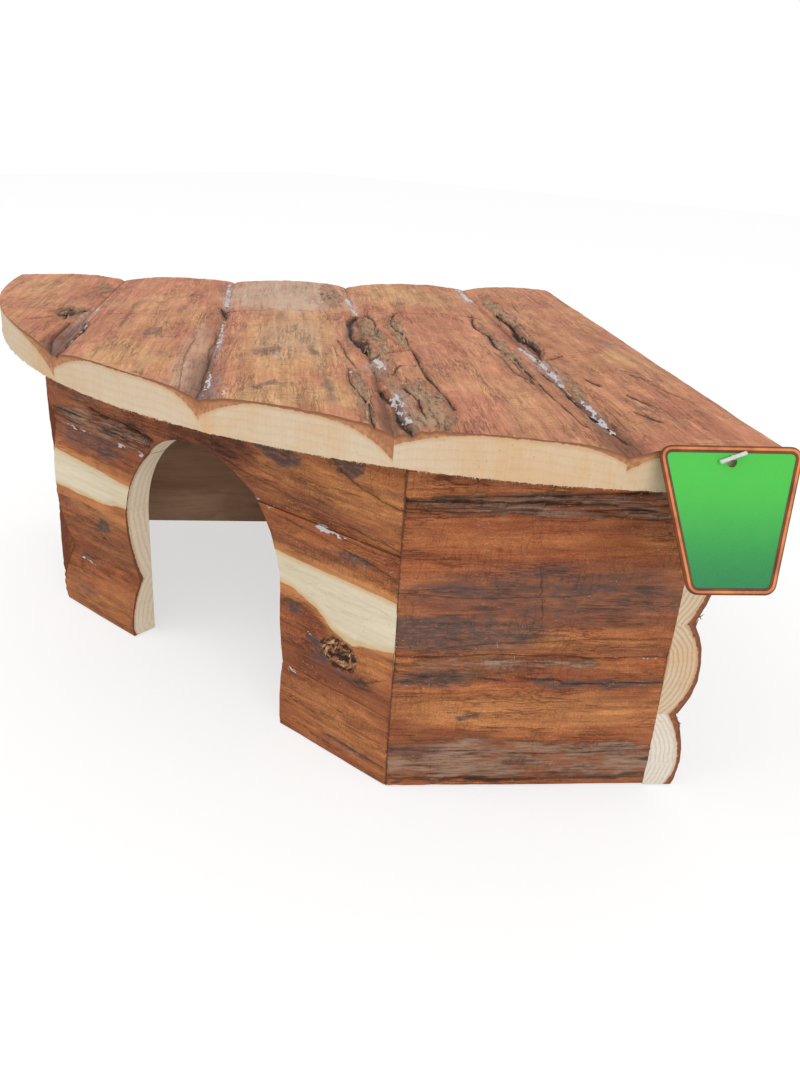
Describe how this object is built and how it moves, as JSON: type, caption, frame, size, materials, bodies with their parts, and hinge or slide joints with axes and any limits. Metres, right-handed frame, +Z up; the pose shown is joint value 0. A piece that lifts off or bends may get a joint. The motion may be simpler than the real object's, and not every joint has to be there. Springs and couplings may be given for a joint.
{
  "type": "corner rodent house",
  "caption": "Corner house for small rodents: upright bark slabs around an open floor, arched doorway across the corner, flat slab roof with a rounded front and a hang tag.",
  "frame": {"origin": "middle of the bounding box at the ground", "axes": "+Z up, the doorway faces -Y, the square back corner points to +Y"},
  "size_m": [0.4026, 0.2834, 0.1385],
  "materials": {
    "wall wood": "rough bark outside, sawn inside",
    "roof wood": "shaved bark above, sawn below",
    "glue": "dried wood glue",
    "tag card": "coated card",
    "nylon": "translucent nylon"
  },
  "bodies": {
    "house": {"doorway_foot_left": "wall wood", "doorway_foot_right": "wall wood", "doorway_middle_left": "wall wood", "doorway_middle_right": "wall wood", "doorway_top_board": "wall wood", "right_short_wall_lower": "wall wood", "right_short_wall_middle": "wall wood", "right_short_wall_top_strip": "wall wood", "left_short_wall_lower": "wall wood", "left_short_wall_upper": "wall wood", "right_back_wall_lower": "wall wood", "right_back_wall_middle": "wall wood", "right_back_wall_upper": "wall wood", "left_back_wall_lower": "wall wood", "left_back_wall_middle": "wall wood", "left_back_wall_upper": "wall wood", "roof_plank_1": "roof wood", "roof_plank_2": "roof wood", "roof_plank_3": "roof wood", "roof_plank_4": "roof wood", "roof_plank_5": "roof wood", "doorway_glue_beads": "glue", "roof_glue_beads": "glue", "tag_pin": "nylon"},
    "tag": {"hang_tag": "tag card"}
  },
  "joints": [
    {"name": "tag_swing", "type": "hinge", "parent": "house", "child": "tag", "pos_m": [0.18099, -0.06586, 0.1352], "axis": [0.6409, -0.6409, 0.4226], "continuous": true}
  ]
}
